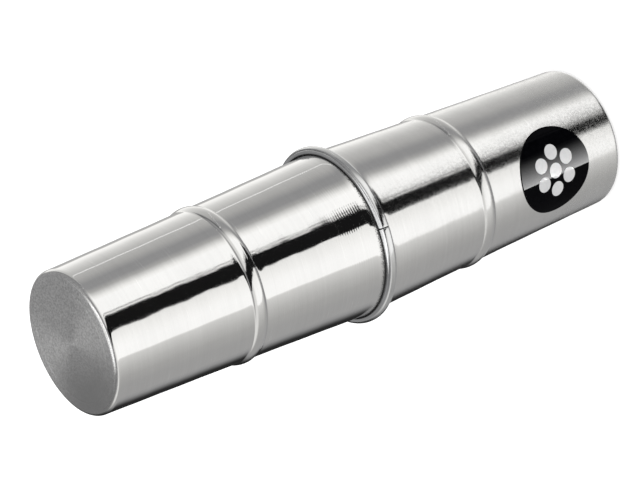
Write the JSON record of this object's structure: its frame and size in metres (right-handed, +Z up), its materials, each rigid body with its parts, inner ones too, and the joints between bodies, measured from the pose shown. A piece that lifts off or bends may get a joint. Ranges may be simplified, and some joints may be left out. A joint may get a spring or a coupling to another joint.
{
  "type": "tube shaker",
  "caption": "Hand-held metal tube shaker: two deep tapered cups joined mouth to mouth by a channel ring, with loose steel shot inside and a round black label.",
  "frame": {"origin": "centre of the outer face of the lower, labelled end, on which the shaker stands", "axes": "+Z up the tube's axis towards the plain end, -Y out through the middle of the round label, +X to the right seen from the label's side"},
  "size_m": [0.0632, 0.0632, 0.2168],
  "materials": {
    "cup_metal": "spun and polished, with fine turning lines round the tube",
    "ring_metal": "polished",
    "label_gloss": "glossy black printed film",
    "shot_steel": "tumbled steel shot"
  },
  "bodies": {
    "tube": {"lower_cup": "cup_metal", "upper_cup": "cup_metal", "joint_ring": "ring_metal", "round_label": "label_gloss"},
    "shot_01": {"shot_01": "shot_steel"},
    "shot_02": {"shot_02": "shot_steel"},
    "shot_03": {"shot_03": "shot_steel"},
    "shot_04": {"shot_04": "shot_steel"},
    "shot_05": {"shot_05": "shot_steel"},
    "shot_06": {"shot_06": "shot_steel"},
    "shot_07": {"shot_07": "shot_steel"},
    "shot_08": {"shot_08": "shot_steel"},
    "shot_09": {"shot_09": "shot_steel"},
    "shot_10": {"shot_10": "shot_steel"},
    "shot_11": {"shot_11": "shot_steel"},
    "shot_12": {"shot_12": "shot_steel"},
    "shot_13": {"shot_13": "shot_steel"},
    "shot_14": {"shot_14": "shot_steel"},
    "shot_15": {"shot_15": "shot_steel"},
    "shot_16": {"shot_16": "shot_steel"},
    "shot_17": {"shot_17": "shot_steel"},
    "shot_18": {"shot_18": "shot_steel"},
    "shot_19": {"shot_19": "shot_steel"},
    "shot_20": {"shot_20": "shot_steel"},
    "shot_21": {"shot_21": "shot_steel"},
    "shot_22": {"shot_22": "shot_steel"},
    "shot_23": {"shot_23": "shot_steel"},
    "shot_24": {"shot_24": "shot_steel"},
    "shot_25": {"shot_25": "shot_steel"},
    "shot_26": {"shot_26": "shot_steel"},
    "shot_27": {"shot_27": "shot_steel"},
    "shot_28": {"shot_28": "shot_steel"},
    "shot_29": {"shot_29": "shot_steel"},
    "shot_30": {"shot_30": "shot_steel"},
    "shot_31": {"shot_31": "shot_steel"},
    "shot_32": {"shot_32": "shot_steel"},
    "shot_33": {"shot_33": "shot_steel"},
    "shot_34": {"shot_34": "shot_steel"},
    "shot_35": {"shot_35": "shot_steel"},
    "shot_36": {"shot_36": "shot_steel"},
    "shot_37": {"shot_37": "shot_steel"},
    "shot_38": {"shot_38": "shot_steel"},
    "shot_39": {"shot_39": "shot_steel"},
    "shot_40": {"shot_40": "shot_steel"},
    "shot_41": {"shot_41": "shot_steel"},
    "shot_42": {"shot_42": "shot_steel"},
    "shot_43": {"shot_43": "shot_steel"},
    "shot_44": {"shot_44": "shot_steel"},
    "shot_45": {"shot_45": "shot_steel"},
    "shot_46": {"shot_46": "shot_steel"},
    "shot_47": {"shot_47": "shot_steel"},
    "shot_48": {"shot_48": "shot_steel"}
  },
  "joints": [
    {"name": "shot_01_travel", "type": "slide", "parent": "tube", "child": "shot_01", "axis": [0, 0, 1], "range_m": [0, 0.2106]},
    {"name": "shot_02_travel", "type": "slide", "parent": "tube", "child": "shot_02", "axis": [0, 0, 1], "range_m": [0, 0.2106]},
    {"name": "shot_03_travel", "type": "slide", "parent": "tube", "child": "shot_03", "axis": [0, 0, 1], "range_m": [0, 0.2106]},
    {"name": "shot_04_travel", "type": "slide", "parent": "tube", "child": "shot_04", "axis": [0, 0, 1], "range_m": [0, 0.2106]},
    {"name": "shot_05_travel", "type": "slide", "parent": "tube", "child": "shot_05", "axis": [0, 0, 1], "range_m": [0, 0.2106]},
    {"name": "shot_06_travel", "type": "slide", "parent": "tube", "child": "shot_06", "axis": [0, 0, 1], "range_m": [0, 0.2106]},
    {"name": "shot_07_travel", "type": "slide", "parent": "tube", "child": "shot_07", "axis": [0, 0, 1], "range_m": [0, 0.2106]},
    {"name": "shot_08_travel", "type": "slide", "parent": "tube", "child": "shot_08", "axis": [0, 0, 1], "range_m": [0, 0.2106]},
    {"name": "shot_09_travel", "type": "slide", "parent": "tube", "child": "shot_09", "axis": [0, 0, 1], "range_m": [0, 0.2106]},
    {"name": "shot_10_travel", "type": "slide", "parent": "tube", "child": "shot_10", "axis": [0, 0, 1], "range_m": [0, 0.2106]},
    {"name": "shot_11_travel", "type": "slide", "parent": "tube", "child": "shot_11", "axis": [0, 0, 1], "range_m": [0, 0.2106]},
    {"name": "shot_12_travel", "type": "slide", "parent": "tube", "child": "shot_12", "axis": [0, 0, 1], "range_m": [0, 0.2106]},
    {"name": "shot_13_travel", "type": "slide", "parent": "tube", "child": "shot_13", "axis": [0, 0, 1], "range_m": [0, 0.2106]},
    {"name": "shot_14_travel", "type": "slide", "parent": "tube", "child": "shot_14", "axis": [0, 0, 1], "range_m": [0, 0.2106]},
    {"name": "shot_15_travel", "type": "slide", "parent": "tube", "child": "shot_15", "axis": [0, 0, 1], "range_m": [0, 0.2106]},
    {"name": "shot_16_travel", "type": "slide", "parent": "tube", "child": "shot_16", "axis": [0, 0, 1], "range_m": [0, 0.2106]},
    {"name": "shot_17_travel", "type": "slide", "parent": "tube", "child": "shot_17", "axis": [0, 0, 1], "range_m": [0, 0.2106]},
    {"name": "shot_18_travel", "type": "slide", "parent": "tube", "child": "shot_18", "axis": [0, 0, 1], "range_m": [0, 0.2106]},
    {"name": "shot_19_travel", "type": "slide", "parent": "tube", "child": "shot_19", "axis": [0, 0, 1], "range_m": [0, 0.2106]},
    {"name": "shot_20_travel", "type": "slide", "parent": "tube", "child": "shot_20", "axis": [0, 0, 1], "range_m": [0, 0.2106]},
    {"name": "shot_21_travel", "type": "slide", "parent": "tube", "child": "shot_21", "axis": [0, 0, 1], "range_m": [0, 0.2106]},
    {"name": "shot_22_travel", "type": "slide", "parent": "tube", "child": "shot_22", "axis": [0, 0, 1], "range_m": [0, 0.2106]},
    {"name": "shot_23_travel", "type": "slide", "parent": "tube", "child": "shot_23", "axis": [0, 0, 1], "range_m": [0, 0.2106]},
    {"name": "shot_24_travel", "type": "slide", "parent": "tube", "child": "shot_24", "axis": [0, 0, 1], "range_m": [0, 0.2106]},
    {"name": "shot_25_travel", "type": "slide", "parent": "tube", "child": "shot_25", "axis": [0, 0, 1], "range_m": [0, 0.2106]},
    {"name": "shot_26_travel", "type": "slide", "parent": "tube", "child": "shot_26", "axis": [0, 0, 1], "range_m": [0, 0.2106]},
    {"name": "shot_27_travel", "type": "slide", "parent": "tube", "child": "shot_27", "axis": [0, 0, 1], "range_m": [0, 0.2106]},
    {"name": "shot_28_travel", "type": "slide", "parent": "tube", "child": "shot_28", "axis": [0, 0, 1], "range_m": [0, 0.2106]},
    {"name": "shot_29_travel", "type": "slide", "parent": "tube", "child": "shot_29", "axis": [0, 0, 1], "range_m": [0, 0.2106]},
    {"name": "shot_30_travel", "type": "slide", "parent": "tube", "child": "shot_30", "axis": [0, 0, 1], "range_m": [0, 0.2106]},
    {"name": "shot_31_travel", "type": "slide", "parent": "tube", "child": "shot_31", "axis": [0, 0, 1], "range_m": [0, 0.2106]},
    {"name": "shot_32_travel", "type": "slide", "parent": "tube", "child": "shot_32", "axis": [0, 0, 1], "range_m": [0, 0.2106]},
    {"name": "shot_33_travel", "type": "slide", "parent": "tube", "child": "shot_33", "axis": [0, 0, 1], "range_m": [0, 0.2106]},
    {"name": "shot_34_travel", "type": "slide", "parent": "tube", "child": "shot_34", "axis": [0, 0, 1], "range_m": [0, 0.2106]},
    {"name": "shot_35_travel", "type": "slide", "parent": "tube", "child": "shot_35", "axis": [0, 0, 1], "range_m": [0, 0.2106]},
    {"name": "shot_36_travel", "type": "slide", "parent": "tube", "child": "shot_36", "axis": [0, 0, 1], "range_m": [0, 0.2106]},
    {"name": "shot_37_travel", "type": "slide", "parent": "tube", "child": "shot_37", "axis": [0, 0, 1], "range_m": [0, 0.2106]},
    {"name": "shot_38_travel", "type": "slide", "parent": "tube", "child": "shot_38", "axis": [0, 0, 1], "range_m": [0, 0.2106]},
    {"name": "shot_39_travel", "type": "slide", "parent": "tube", "child": "shot_39", "axis": [0, 0, 1], "range_m": [0, 0.2106]},
    {"name": "shot_40_travel", "type": "slide", "parent": "tube", "child": "shot_40", "axis": [0, 0, 1], "range_m": [0, 0.2106]},
    {"name": "shot_41_travel", "type": "slide", "parent": "tube", "child": "shot_41", "axis": [0, 0, 1], "range_m": [0, 0.2106]},
    {"name": "shot_42_travel", "type": "slide", "parent": "tube", "child": "shot_42", "axis": [0, 0, 1], "range_m": [0, 0.2106]},
    {"name": "shot_43_travel", "type": "slide", "parent": "tube", "child": "shot_43", "axis": [0, 0, 1], "range_m": [0, 0.2106]},
    {"name": "shot_44_travel", "type": "slide", "parent": "tube", "child": "shot_44", "axis": [0, 0, 1], "range_m": [0, 0.2106]},
    {"name": "shot_45_travel", "type": "slide", "parent": "tube", "child": "shot_45", "axis": [0, 0, 1], "range_m": [0, 0.2106]},
    {"name": "shot_46_travel", "type": "slide", "parent": "tube", "child": "shot_46", "axis": [0, 0, 1], "range_m": [0, 0.2106]},
    {"name": "shot_47_travel", "type": "slide", "parent": "tube", "child": "shot_47", "axis": [0, 0, 1], "range_m": [0, 0.2106]},
    {"name": "shot_48_travel", "type": "slide", "parent": "tube", "child": "shot_48", "axis": [0, 0, 1], "range_m": [0, 0.2106]}
  ]
}
